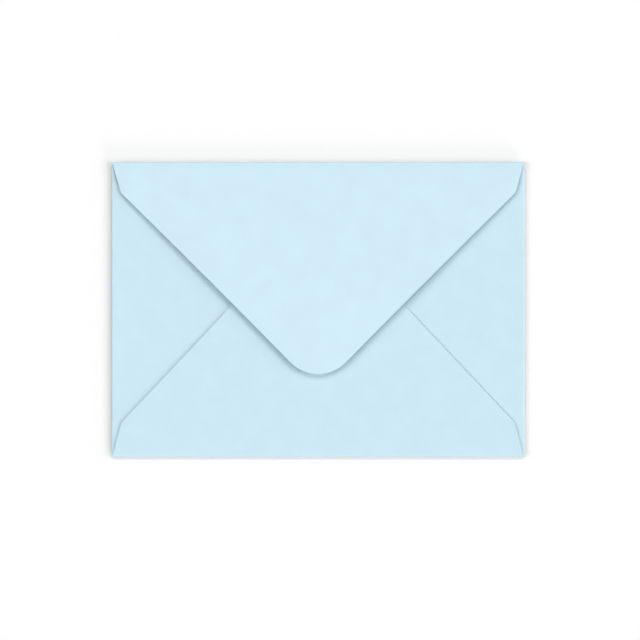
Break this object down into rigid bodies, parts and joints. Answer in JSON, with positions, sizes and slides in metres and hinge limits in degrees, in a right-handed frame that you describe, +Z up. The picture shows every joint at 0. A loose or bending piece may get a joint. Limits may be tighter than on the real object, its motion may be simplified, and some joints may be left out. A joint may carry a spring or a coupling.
{
  "type": "paper envelope",
  "caption": "Rectangular paper envelope with a pointed, round-tipped top flap folded shut over its bottom and side flaps, and an open pocket under it.",
  "frame": {"origin": "middle of the envelope's outline, on the outer face of the front panel, which is the surface it lies on", "axes": "+X across the width, +Y from the bottom fold to the top fold, +Z up through the flap side"},
  "size_m": [0.175, 0.125, 0.0029],
  "materials": {
    "paper": "uncoated pale blue paper, matt"
  },
  "bodies": {
    "root": {"folded_envelope": "paper"}
  },
  "joints": []
}
